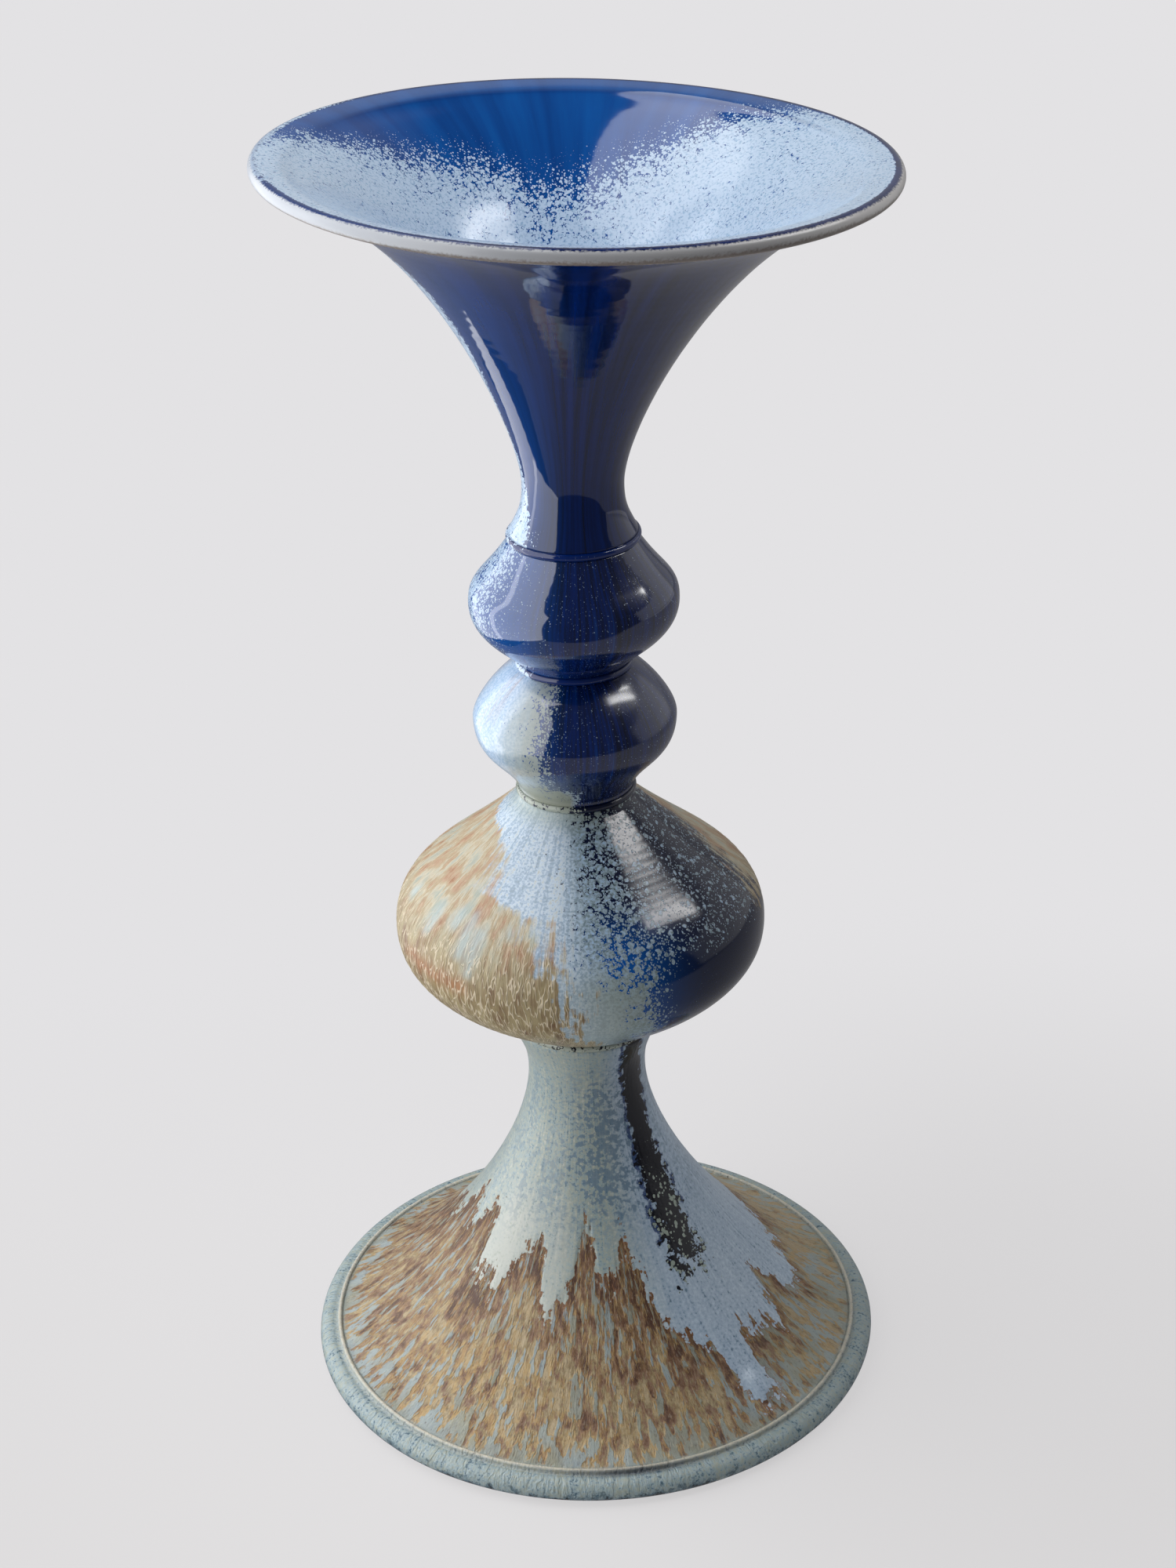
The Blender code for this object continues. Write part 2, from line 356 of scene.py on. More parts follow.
def handmade(place):
    """Lean the axis and tilt the rim a little."""
    top = cad_box[1][2]
    x, y, z = place[..., 0], place[..., 1], place[..., 2]
    rise = smooth(z, RIM_TILT_START, top)
    lean = BOW * bell(z - BOW_HEIGHT, BOW_SPAN) + MOUTH_LEAN * rise
    tilt = rise * (RIM_TILT[0] * x + RIM_TILT[1] * y)
    return np.stack([x + lean, y, z + tilt], axis=-1)


def neck_radius(ring):
    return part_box(ring)[1].x - RING_BULGE


def heights(node):
    low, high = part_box(node)
    return low.z, high.z


def foot_piece():
    base, top = heights("foot")
    bulb_base = neck_radius("foot_joint_ring")
    stem = (STEM_RADIUS, SKIRT_HEIGHT)
    band_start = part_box("foot")[1].x - BAND_WIDTH
    band = arc((band_start, BAND_HEIGHT / 2), BAND_WIDTH, BAND_HEIGHT / 2, -90, 80, 22)
    edge = (band_start - RIDGE_WIDTH, SKIRT_EDGE_HEIGHT)
    ridge_start = np.array([[band_start - 0.2 * RIDGE_WIDTH, SKIRT_EDGE_HEIGHT - RIDGE_RISE]])
    ridge_centre = (band_start - 0.62 * RIDGE_WIDTH, SKIRT_EDGE_HEIGHT - 0.1 * RIDGE_RISE)
    ridge = arc(ridge_centre, 0.36 * RIDGE_WIDTH, RIDGE_RISE, 0, 180, 9)
    flare = curve(stem, (bulb_base, top), STEM_PULLS)
    skirt = even(chain(curve(edge, stem, SKIRT_PULLS), flare), FOOT_SPACING)
    visible = np.concatenate([band, ridge_start, ridge, skirt])
    inside = inner_side(skirt, FOOT_WALL, FOOT_CLEAR, top - FOOT_CLEAR)
    under = even(inside[::-1], UNDER_SPACING)
    seat = np.array([[bulb_base - SEAT_WIDTH, top]])
    ring_edge = np.array([[under[-1, 0], base]])
    return Turned("foot_body", visible, np.concatenate([seat, under, ring_edge]), FOOT_SEGMENTS)


def bulb_piece():
    base, top = heights("main_bulb")
    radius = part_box("main_bulb")[1].x
    stem = neck_radius("foot_joint_ring")
    collar = neck_radius("collar_joint_ring")
    belly = (radius, base + BULB_LOWER_HEIGHT)
    shoulder = (collar, top - BULB_COLLAR_HEIGHT)
    lower = curve((stem, base), belly, BULB_LOWER_PULLS)
    upper = curve(belly, shoulder, BULB_UPPER_PULLS)
    rise = np.array([shoulder, (collar, top)])
    outer = even(chain(lower, upper, rise), BULB_SPACING)
    inside = inner_side(outer, BULB_WALL, base + BULB_BASIN, top - MM)[::-BULB_INNER_STEP]
    seat = np.array([[collar - SEAT_WIDTH, top]])
    floor_height = base + BULB_FLOOR
    floor = np.array([[inside[-1, 0] * BULB_FLOOR_SHARE, floor_height], [0.0, floor_height]])
    centre = np.array([[0.0, base]])
    visible = np.concatenate([centre, outer])
    return Turned("bulb_body", visible, np.concatenate([seat, inside, floor]), BULB_SEGMENTS, closed=False)


def bead_piece(name, outer, low_radius, high_radius):
    base, top = outer[0, 1], outer[-1, 1]
    inside = inner_side(outer, BEAD_WALL, base + MM, top - MM)[::-BEAD_INNER_STEP]
    high_seat = np.array([[high_radius - SEAT_WIDTH, top]])
    low_seat = np.array([[low_radius - SEAT_WIDTH, base]])
    return Turned(name, outer, np.concatenate([high_seat, inside, low_seat]), BEAD_SEGMENTS)


def lower_bead_piece():
    base, top = heights("lower_bead")
    collar = neck_radius("collar_joint_ring")
    waist = neck_radius("waist_joint_ring")
    collar_top = (collar, base + LOWER_BEAD_COLLAR_HEIGHT)
    belly = (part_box("lower_bead")[1].x, base + LOWER_BEAD_BELLY_HEIGHT)
    rise = np.array([(collar, base), collar_top])
    lower = curve(collar_top, belly, LOWER_BEAD_LOWER_PULLS)
    upper = curve(belly, (waist, top), LOWER_BEAD_UPPER_PULLS)
    return bead_piece("lower_bead_body", even(chain(rise, lower, upper), BEAD_SPACING), collar, waist)


def upper_bead_piece():
    base, top = heights("upper_bead")
    waist = neck_radius("waist_joint_ring")
    crown = neck_radius("throat_joint_ring")
    belly = (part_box("upper_bead")[1].x, base + UPPER_BEAD_BELLY_HEIGHT)
    lower = curve((waist, base), belly, UPPER_BEAD_LOWER_PULLS)
    upper = curve(belly, (crown, top), UPPER_BEAD_UPPER_PULLS)
    return bead_piece("upper_bead_body", even(chain(lower, upper), BEAD_SPACING), waist, crown)


def trumpet_piece():
    base, top = heights("trumpet")
    crown = neck_radius("throat_joint_ring")
    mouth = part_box("trumpet")[1].x
    throat = (THROAT_RADIUS, base + THROAT_HEIGHT)
    lip_centre = np.array((mouth - LIP_ROUND, top - LIP_ROUND))
    to_top = np.array((-math.sin(LIP_ANGLE), math.cos(LIP_ANGLE)))
    lip_under = lip_centre - to_top * LIP_ROUND
    neck = curve((crown, base), throat, THROAT_PULLS)
    flare = curve(throat, lip_under, FLARE_PULLS)
    outer = chain(neck, flare)
    outside = even(outer, TRUMPET_SPACING)
    lip_degrees = math.degrees(LIP_ANGLE)
    lip = arc(lip_centre, LIP_ROUND, LIP_ROUND, lip_degrees - 90, lip_degrees + 90, 13)
    ledge = lip[-1] - LIP_BAND_WIDTH * np.array((math.cos(LIP_ANGLE), math.sin(LIP_ANGLE)))
    inside = inner_side(outer, TRUMPET_WALL, base + MM, top)
    inside = inside[inside[:, 0] < ledge[0]][::-1]
    bowl = softened(even(np.concatenate([lip[-1:], ledge[None], inside]), TRUMPET_SPACING), LEDGE_SOFTENING)
    visible = np.concatenate([outside[:-1], lip, bowl[1:]])
    seat = np.array([[crown - SEAT_WIDTH, base]])
    piece = Turned("trumpet_body", visible, seat, TRUMPET_SEGMENTS)
    piece.lip_rows = (len(outside) - 1, len(lip))
    return piece


def ring_piece(name, ring):
    low, high = heights(ring)
    neck = neck_radius(ring)
    half = (high - low) / 2 + RING_OVERLAP
    bulge = arc((neck, (low + high) / 2), RING_BULGE, half, -90, 90, 13)
    bore = neck - SEAT_WIDTH
    hidden = np.array([[bore, high + RING_OVERLAP], [bore, low - RING_OVERLAP]])
    return Turned(name, bulge, hidden, RING_SEGMENTS)


def throwing_rings(piece, depth, pitch):
    """Fine spiral lines from the thrower's fingers, and a slow unevenness."""
    turn = np.radians(piece.angle)
    lines = np.sin(math.tau * piece.along / pitch + turn + 2 * np.sin(piece.along / (3 * pitch)))
    slow = piece.grain(1.6, 22.0)
    piece.swell += piece.shown * depth * (lines * (0.6 + 0.4 * slow) + 2.0 * slow)


def table_value(place, table):
    """Value between the (place, value) rows of a table."""
    places, values = zip(*table)
    return np.interp(place, places, values)


# Lower edge of the pale glaze on the foot: the radius in millimetres that it reaches at an angle
PALE_EDGE = (
    (-180, 66), (-165, 78), (-150, 60), (-138, 82), (-126, 62), (-115, 76), (-104, 60),
    (-97, 68), (-92, 62), (-87, 54), (-81, 51), (-77, 56), (-75, 61), (-72, 62), (-70, 56), (-67, 50),
    (-62, 49), (-58, 53), (-57, 64), (-53, 70), (-50, 69), (-48, 66), (-46, 68), (-43, 71), (-40, 67),
    (-38, 62), (-34, 57), (-31, 55), (-27, 51), (-25, 55), (-24, 62), (-21, 68), (-18, 74), (-16, 72),
    (-13, 67), (-10, 64), (-8, 56), (-6, 50), (-4, 48), (-1, 50), (1, 56), (2, 61), (4, 63), (9, 63),
    (10, 58), (12, 56), (15, 53), (18, 55), (20, 61), (22, 65), (23, 65), (24, 72), (27, 79), (31, 83),
    (35, 88), (38, 89), (39, 100), (40, 112), (44, 116), (47, 112), (48, 100), (49, 92), (52, 92),
    (54, 95), (56, 92), (58, 96), (61, 95), (62, 98), (64, 101), (66, 93), (69, 88), (71, 79), (73, 77),
    (76, 88), (79, 96), (83, 98), (86, 100), (89, 97), (93, 90), (98, 92), (106, 86), (118, 78),
    (130, 84), (142, 66), (155, 74), (168, 62), (180, 66),
)
# Sides of the ink-dark run on the foot: the angle at a height in millimetres
INK_LEFT = ((60, 38), (100, 37), (150, 38), (180, 31))
INK_RIGHT = ((60, 53), (75, 55), (90, 58), (110, 60), (132, 61), (150, 67), (165, 60), (180, 47))
INK_END = 68
INK_END_SLOPE = 0.5
# The thick drop at the end of the longest run, in millimetres
DRIP_ANGLE = 44
DRIP_RADIUS = 110
DRIP_SIZE = 8.0
DRIP_STRETCH = 0.9
DRIP_RISE = 1.2
# Relief of the skirt in millimetres: tool strokes, flatter under the pale glaze, and that glaze itself
STROKE_RISE = 0.3
STROKES_LOST = 0.8
GLAZE_RISE = 0.4
# Patches on the foot: the angle of each and its half width
WHITE_TONGUE = (-46, 17)
SHORT_TONGUE = (-18, 8)
SHORT_TONGUE_SHARE = 0.55
OPEN_PATCH = (14, 26)
DUSKY_PATCH = (18, 20)
WARM_PATCH = (-36, 30)
CELADON_PATCH = (75, 34)
CELADON_PATCH_SHARE = 0.5
POOLED_PATCH = (8, 13)
# Painted light and shade: how much the skirt's tone is lifted on the right and darkened on the left
PAINTED_LIGHT_RIGHT = 0.10
PAINTED_SHADE_LEFT = 0.08
CLOUD_SHARE = 0.4


def foot_fields(piece):
    """Fields of the foot, by the angle in degrees and the radius and height in millimetres."""
    radius = piece.radius / MM
    height = piece.height / MM
    wander = piece.grain(9.0, 60.0)
    ripple = piece.grain(34.0, 70.0)
    strokes = piece.grain(38.0, 90.0)
    angle = around(piece.angle + 0.8 * wander + 0.7 * ripple, 0)
    pale = table_value(angle, PALE_EDGE) - radius + 2.0 * ripple
    drip_across = np.radians(around(piece.angle, DRIP_ANGLE)) * DRIP_RADIUS
    drip = DRIP_SIZE - np.hypot(drip_across, (radius - DRIP_RADIUS) * DRIP_STRETCH)
    pale = np.maximum(pale, drip)
    band_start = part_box("foot")[1].x - BAND_WIDTH
    edge_height = SKIRT_EDGE_HEIGHT / MM
    skirt = smooth(height, edge_height - 0.5, edge_height + 1.0)
    skirt = skirt * (piece.radius < band_start - 0.9 * RIDGE_WIDTH)
    ink_left = table_value(height, INK_LEFT)
    ink_right = table_value(height, INK_RIGHT)
    ink = np.minimum(piece.angle - ink_left, ink_right - piece.angle)
    ink = np.minimum(ink, (height - INK_END) * INK_END_SLOPE)
    covered = smooth(pale, -1, 3)
    relief = STROKE_RISE * strokes * (1 - STROKES_LOST * covered) + GLAZE_RISE * covered
    piece.swell += piece.shown * MM * (skirt * relief + DRIP_RISE * smooth(drip, 0, 6))
    rim_edge = (band_start - 0.6 * RIDGE_WIDTH) / MM
    short_tongue = SHORT_TONGUE_SHARE * hump(piece.angle, *SHORT_TONGUE)
    tongues = np.maximum(hump(piece.angle, *WHITE_TONGUE), short_tongue)
    fringe = np.maximum(hump(piece.angle, ink_left - 1.0, 3.0), 0.8 * hump(piece.angle, ink_right + 1.0, 2.5))
    # Painted light on the skirt's right and painted shade on its left
    painted_light_right = PAINTED_LIGHT_RIGHT * smooth(piece.angle, 20, 70) * right_back(piece.angle)
    painted_shade_left = PAINTED_SHADE_LEFT * left_back(piece.angle) * fade(piece.angle, -60, -20)
    celadon_patch = CELADON_PATCH_SHARE * hump(piece.angle, *CELADON_PATCH)
    piece.fields.update(
        pale=pale,
        ink=ink,
        skirt=skirt,
        cool=smooth(piece.angle, 6, 36) * right_back(piece.angle),
        white=tongues * smooth(radius, 36, 52),
        fringe=fringe * smooth(height, 66, 90),
        open=hump(piece.angle, *OPEN_PATCH) * smooth(height, 84, 116) * fade(height, 142, 170),
        dusky=hump(piece.angle, *DUSKY_PATCH) * smooth(radius, 45, 62) * fade(radius, 88, 108),
        warm=hump(piece.angle, *WARM_PATCH) * smooth(radius, 74, 96),
        celadon=np.clip(smooth(radius, 104, 124) + celadon_patch, 0, 1),
        sprinkled=fade(height, 84, 146),
        clouds=CLOUD_SHARE * smooth(height, 70, 104) * (1 - 0.6 * smooth(height, 150, 178)),
        leaning=painted_light_right - painted_shade_left,
        low=fade(height, 0.5, BAND_HEIGHT / MM),
        pooled=hump(piece.angle, *POOLED_PATCH) * bell(radius - rim_edge - 2.0, 1.6),
        # The ridge's crest, painted cream below: partly paler glaze there and partly a painted highlight
        ridge=bell(radius - rim_edge, 1.0),
    )


# Right-hand edge of the ochre glaze on the bulb, and its far edge: the angle at a height in millimetres
OCHRE_EDGE = (
    (180, 8), (205, 5), (215, 2), (225, -1), (235, -2), (243, -3), (248, -8), (254, -10), (262, -14),
    (267, -18), (269, -28), (271, -44), (277, -46), (282, -48), (286, -54), (288, -62), (292, -100),
    (302, -120),
)
OCHRE_BACK = ((180, 128), (222, 118), (237, 98), (247, 84), (262, 84), (280, 96), (302, 104))
# Where the closed cover of crystals on the bulb ends: the angle at a height in millimetres
SOLID_END = ((200, 6), (222, 8), (242, 4), (262, -4), (300, -8))
SOLID_COVER = 1.6
# Runs of pale glaze over the ochre: angle and the heights in millimetres between which they lie
PALE_RUNS = (
    (-60, 248, 265), (-49, 255, 268), (-42, 246, 268), (-37, 240, 264), (-80, 252, 262), (-26, 258, 266),
)
RUN_HALF_WIDTH = 2.4
RUN_END = 5
RUST_HEIGHT = 237
RUST_HALF_HEIGHT = 4.5
# Relief of the bulb in millimetres: tool cuts, shallow above and deep below, and the thickness of the blue
CUT_SHALLOW = 0.03
CUT_DEEPER = 0.16
BLUE_RISE = 0.3


def bulb_fields(piece):
    """Fields of the bulb, by the angle in degrees and the height in millimetres."""
    height = piece.height / MM
    wander = piece.grain(5.0, 40.0)
    fine = piece.grain(24.0, 70.0)
    cuts = piece.grain(30.0, 105.0)
    angle = piece.angle + 2.5 * wander + 1.5 * fine
    near_edge = table_value(height + 1.5 * fine, OCHRE_EDGE)
    ochre = np.maximum(near_edge - angle, angle - table_value(height, OCHRE_BACK))
    solid_end = table_value(height, SOLID_END)
    crystal = SOLID_COVER - smooth(piece.angle, solid_end - 14, solid_end + 20)
    crystal -= 0.22 * smooth(piece.angle, 20, 40)
    crystal *= 1 - 0.9 * smooth(piece.angle, 20, 34) * fade(height, 242, 256)
    runs = np.zeros_like(height)
    for centre, low, high in PALE_RUNS:
        length = smooth(height, low, low + RUN_END) * fade(height, high - RUN_END, high)
        runs += hump(piece.angle + 2 * fine, centre, RUN_HALF_WIDTH) * length
    bare = smooth(ochre, -3, 4)
    cut_depth = CUT_SHALLOW + CUT_DEEPER * fade(height, 250, 274)
    comb = 1 - 2.4 * np.abs(cuts)
    piece.swell += piece.shown * MM * (cut_depth * bare * comb + BLUE_RISE * (1 - bare))
    rusty = bell(height + 2 * fine - RUST_HEIGHT, RUST_HALF_HEIGHT)
    piece.fields.update(
        ochre=ochre,
        crystal=np.clip(crystal + 0.06 * wander, 0, SOLID_COVER),
        rise=smooth(height + 4 * wander, 242, 266),
        big=fade(height, 240, 258) * hump(piece.angle, 10, 17),
        runs=np.clip(runs, 0, 1),
        rusty=rusty * smooth(piece.angle, -76, -62) * fade(piece.angle, -40, -34),
        bright=hump(piece.angle, 12, 16) * fade(height, 250, 275),
        collar=smooth(height, 292, 301),
    )
    throwing_rings(piece, 0.02 * MM, 4.0 * MM)


# The rusty run on the lower bead: its angle and half width
RUST_RUN = (-64, 7)
SCATTERED = 0.15
LEAST_HAZE = 0.3


def bead_fields(piece, pale_edge, soft, cover, rust=0.0):
    """Pale crystals from the left, down to scattered ones, with rust and olive tones if asked."""
    wander = piece.grain(5.0, 60.0)
    streaks = piece.grain(16.0, 14.0)
    angle = piece.angle + 4 * wander + 4 * streaks
    left = fade(angle, pale_edge - soft, pale_edge + soft)
    away_from_seam = piece.angle > -165
    back = left_back(piece.angle + 10 * wander * away_from_seam)
    base, top = piece.profile[0, 1], piece.visible[-1, 1]
    share = (piece.height - base) / (top - base)
    collar = rust * fade(share, 0.10, 0.26) * fade(angle, -16, 12) * back
    piece.fields.update(
        crystal=np.clip(np.maximum(cover * left * back, 1.3 * collar) + SCATTERED, 0, SOLID_COVER),
        rust=rust * hump(angle, *RUST_RUN) * smooth(share, 0.55, 0.8),
        olive=np.clip(rust * hump(angle, pale_edge + 2, 18) + collar, 0, 1),
        brown=0.6 * rust * fade(angle, -122, -86) * back,
        bluer=fade(piece.angle, -40, 0) * back,
        hazy=max(rust, LEAST_HAZE) * smooth(piece.angle, 0, 24) * fade(piece.angle, 150, 175),
    )
    throwing_rings(piece, 0.012 * MM, 5.0 * MM)


# Radius in millimetres where the pale crystals cover half of the mouth's inside, by angle round the axis
BOWL_EDGE = (
    (95, 160), (112, 145), (122, 132), (130, 122), (138, 110), (145, 101), (152, 92), (160, 84), (168, 77),
    (176, 72), (184, 67), (190, 66), (196, 69), (204, 77), (214, 80), (224, 84), (234, 90), (244, 100),
    (252, 112), (260, 126), (268, 145), (280, 160),
)
# Right-hand edge of the pale strip outside the trumpet: the angle at a height in millimetres
STRIP_EDGE = (
    (424, -46), (440, -54), (456, -66), (480, -72), (500, -64), (520, -58), (545, -56), (565, -62),
    (592, -70),
)
BOWL_COVER = 1.12
STRIP_COVER = 0.85
LOW_SPECKS = 0.3
FULL_COVER = 1.15


def trumpet_fields(piece):
    """Fields of the trumpet, by the angle in degrees and the radius and height in millimetres."""
    first, count = piece.lip_rows
    rows = np.arange(len(piece.profile))[:, None] * np.ones((1, piece.segments))
    inside = (rows >= first + count).astype(float)
    radius = piece.radius / MM
    height = piece.height / MM
    wander = piece.grain(4.0, 30.0)
    streaks = piece.grain(15.0, 9.0)
    turn = (piece.angle + 3 * wander + 2 * streaks) % 360
    bowl_edge = table_value(turn, BOWL_EDGE)
    crystal_inside = BOWL_COVER * smooth(bowl_edge - radius + 4 * streaks, -30, 26)
    strip_edge = table_value(height, STRIP_EDGE)
    strip = fade(piece.angle + 4 * streaks, strip_edge - 8, strip_edge + 4) * smooth(piece.angle, -150, -110)
    low_specks = LOW_SPECKS * fade(height, 428, 446) * fade(piece.angle, -44, -24)
    crystal = inside * crystal_inside + (1 - inside) * (STRIP_COVER * strip + low_specks)
    band_edge = (piece.profile[first + count - 1, 0] - LIP_BAND_WIDTH) / MM
    turned_away = np.abs(piece.angle)
    far_side = smooth(turned_away, 100, 140)
    piece.fields.update(
        crystal=np.clip(crystal, 0, FULL_COVER),
        inside=inside,
        bluer=fade(piece.angle, -50, 0) * left_back(piece.angle),
        lip_side=rows - (first + count / 2),
        lip_shade=smooth(piece.angle, -75, 70) * fade(turned_away, 110, 150),
        lip_back=smooth(turned_away, 96, 125),
        band=inside * far_side * smooth(radius, band_edge - 0.6, band_edge + 0.6),
        ledge=inside * far_side * bell(radius - band_edge, 0.9),
    )
    throwing_rings(piece, 0.02 * MM, 17.0 * MM)
    throwing_rings(piece, 0.016 * MM, 6.5 * MM)


def mesh_of(piece):
    """A closed mesh from the piece's grid, with its fields as attributes and a map for baking."""
    rows, segments = piece.radius.shape
    pole = piece.radius[:, 0] < ON_AXIS
    keep = np.ones((rows, segments), bool)
    keep[pole, 1:] = False
    index = np.cumsum(keep.ravel()).reshape(rows, segments) - 1
    index[pole] = index[pole, :1]
    columns = np.concatenate([index, index[:, :1]], axis=1)
    shares = np.linspace(0, 1, rows + 1)
    faces = []
    places = []
    last = rows if piece.closed else rows - 1
    turn = np.linspace(0, 1, segments + 1)
    for row in range(last):
        above = (row + 1) % rows
        corners = np.stack(
            [columns[row, :-1], columns[row, 1:], columns[above, 1:], columns[above, :-1]], axis=1
        )
        low = np.full(segments, shares[row])
        high = np.full(segments, shares[row + 1])
        round_face = ((turn[:-1], low), (turn[1:], low), (turn[1:], high), (turn[:-1], high))
        spots = np.stack([np.stack(spot, axis=1) for spot in round_face], axis=1)
        if pole[row]:
            corners = corners[:, (0, 2, 3)]
            spots = spots[:, (0, 2, 3)]
        elif pole[above]:
            corners = corners[:, (0, 1, 2)]
            spots = spots[:, (0, 1, 2)]
        faces += corners.tolist()
        places.append(spots.reshape(-1, 2))
    mesh = bpy.data.meshes.new(piece.name)
    mesh.from_pydata(piece.points()[keep].tolist(), [], faces)
    bake_map = mesh.uv_layers.new(name="OFBake")
    bake_map.data.foreach_set("uv", np.concatenate(places).astype(np.float32).ravel())
    add_attribute(mesh, "flow", "FLOAT_VECTOR", piece.flow[keep])
    for name, values in piece.fields.items():
        add_attribute(mesh, name, "FLOAT", np.broadcast_to(values, keep.shape)[keep])
    mesh.shade_smooth()
    return mesh


def add_attribute(mesh, name, kind, values):
    attribute = mesh.attributes.new(name, kind, "POINT")
    slot = "vector" if kind == "FLOAT_VECTOR" else "value"
    attribute.data.foreach_set(slot, np.ascontiguousarray(values, np.float32).ravel())


def add_object(name, data):
    thing = bpy.data.objects.new(name, data)
    bpy.context.scene.collection.objects.link(thing)
    return thing


def add_piece(piece, node, material):
    """Put a finished piece in the scene in place of its solid."""
    body = add_object(piece.name, mesh_of(piece))
    body.data.materials.append(material)
    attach(body, "root")
    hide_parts(node)


class Nodes:
    """A node tree, with short ways to add nodes to it."""

    def __init__(self, owner):
        owner.use_nodes = True
        self.tree = owner.node_tree

    def add(self, kind):
        return self.tree.nodes.new("ShaderNode" + kind)

    def attribute(self, name, output="Fac"):
        node = self.add("Attribute")
        node.attribute_name = name
        return node.outputs[output]

    def feed(self, socket, value):
        """Link a socket to another one or to a named field, or set its plain value."""
        if isinstance(value, str):
            value = self.attribute(value)
        if isinstance(value, bpy.types.NodeSocket):
            self.tree.links.new(value, socket)
        else:
            socket.default_value = value

    def feed_all(self, node, *values):
        """Feed a node's first sockets in their order."""
        for socket, value in zip(node.inputs, values):
            self.feed(socket, value)
        return node.outputs[0]

    def math(self, operation, first, second=0.0):
        node = self.add("Math")
        node.operation = operation
        return self.feed_all(node, first, second)

    def plus(self, first, second):
        return self.math("ADD", first, second)

    def minus(self, first, second):
        return self.math("SUBTRACT", first, second)

    def times(self, first, second):
        return self.math("MULTIPLY", first, second)

    def most(self, first, second):
        return self.math("MAXIMUM", first, second)

    def slope(self, value, low, high, start=0.0, end=1.0, kind="LINEAR"):
        """A slope from start at low to end at high."""
        node = self.add("MapRange")
        node.interpolation_type = kind
        return self.feed_all(node, value, low, high, start, end)

    def step(self, value, low, high, start=0.0, end=1.0):
        """A smooth slope from start at low to end at high."""
        return self.slope(value, low, high, start, end, "SMOOTHSTEP")

    def shaken(self, value, texture, amount, low=0.3):
        """A value moved up and down by a texture, to make an edge uneven."""
        return self.plus(value, self.step(texture, low, 1 - low, -amount, amount))

    def axes(self, vector):
        node = self.add("SeparateXYZ")
        self.feed(node.inputs[0], vector)
        return node.outputs

    def mix(self, factor, first, second):
        """Mix two colours."""
        node = self.add("Mix")
        node.data_type = "RGBA"
        for socket, value in zip(MIX_COLOUR_SOCKETS, (factor, first, second)):
            self.feed(node.inputs[socket], value)
        return node.outputs[MIX_COLOUR_RESULT]

    def emission(self, colour, strength=1.0):
        return self.feed_all(self.add("Emission"), colour, strength)

    def either(self, factor, first, second):
        """Mix two surfaces."""
        return self.feed_all(self.add("MixShader"), factor, first, second)


class Glaze(Nodes):
    """A glaze, with the textures that the glazes share."""

    def __init__(self, name):
        self.material = bpy.data.materials.new(name)
        super().__init__(self.material)
        self.surface = self.tree.nodes["Principled BSDF"]
        self.place = self.add("TexCoord").outputs["Object"]
        self.flow = self.attribute("flow", "Vector")

    def tint(self, colour, second, field, share):
        """A colour with some of a second one where a field is high."""
        return self.mix(self.times(field, share), colour, second)

    def scaled(self, vector, across, along):
        node = self.add("VectorMath")
        node.operation = "MULTIPLY"
        return self.feed_all(node, vector, (across, across, along))

    def noise(self, vector, scale=1.0, detail=3.0, roughness=0.55):
        node = self.add("TexNoise")
        self.feed(node.inputs["Vector"], vector)
        node.inputs["Scale"].default_value = scale
        node.inputs["Detail"].default_value = detail
        node.inputs["Roughness"].default_value = roughness
        return node.outputs[0]

    def drawn(self, across, along, detail=4.0, roughness=0.55):
        """Noise that follows the flow of the glaze down the profile."""
        return self.noise(self.scaled(self.flow, across, along), 1.0, detail, roughness)

    def mottle(self, scale=800.0):
        return self.noise(self.place, scale, detail=4.0)

    def jittered(self, vector, scale, amount):
        """A vector moved about by noise, for uneven outlines."""
        node = self.add("TexNoise")
        self.feed(node.inputs["Vector"], vector)
        node.inputs["Scale"].default_value = scale
        node.inputs["Detail"].default_value = 2.0
        moved = self.add("VectorMath")
        moved.operation = "MULTIPLY_ADD"
        return self.feed_all(moved, node.outputs[1], (amount, amount, amount), vector)

    def cells(self, vector, scale):
        """Distance and colour of Voronoi cells."""
        node = self.add("TexVoronoi")
        self.feed(node.inputs["Vector"], vector)
        node.inputs["Scale"].default_value = scale
        return node.outputs[0], node.outputs[1]

    def red(self, colour):
        return self.feed_all(self.add("SeparateColor"), colour)

    def blend(self, factor, first, second):
        """Mix two plain numbers."""
        node = self.add("Mix")
        node.data_type = "FLOAT"
        for socket, value in zip(MIX_NUMBER_SOCKETS, (factor, first, second)):
            self.feed(node.inputs[socket], value)
        return node.outputs[0]

    def ramp(self, value, *stops):
        """A colour ramp through (place, colour) stops."""
        node = self.add("ValToRGB")
        elements = node.color_ramp.elements
        while len(elements) < len(stops):
            elements.new(0.5)
        for element, (spot, colour) in zip(elements, stops):
            element.position = spot
            element.color = colour
        return self.feed_all(node, value)

    def crystals(self, density, size):
        """Cover of small pale crystals: scattered at a low density, closed at a high one."""
        place = self.scaled(self.place, 1.0, CRYSTAL_FLATNESS)
        uneven = self.jittered(place, CRYSTAL_RIPPLES / size, CRYSTAL_UNEVEN * size)
        distance, colour = self.cells(uneven, 1.0 / size)
        limit = self.times(density, self.step(self.red(colour), 0.0, 1.0, *CRYSTAL_REACH))
        return self.step(self.minus(limit, distance), 0.0, CRYSTAL_EDGE)

    def finish(self, colour, roughness, height, bump, ior=STONEWARE_IOR):
        """Feed the surface. The bump is a strength and a depth."""
        self.surface.inputs["IOR"].default_value = ior
        self.feed(self.surface.inputs["Base Color"], colour)
        self.feed(self.surface.inputs["Roughness"], roughness)
        node = self.add("Bump")
        node.inputs["Strength"].default_value, node.inputs["Distance"].default_value = bump
        self.feed(node.inputs["Height"], height)
        self.feed(self.surface.inputs["Normal"], node.outputs[0])
        return self.material


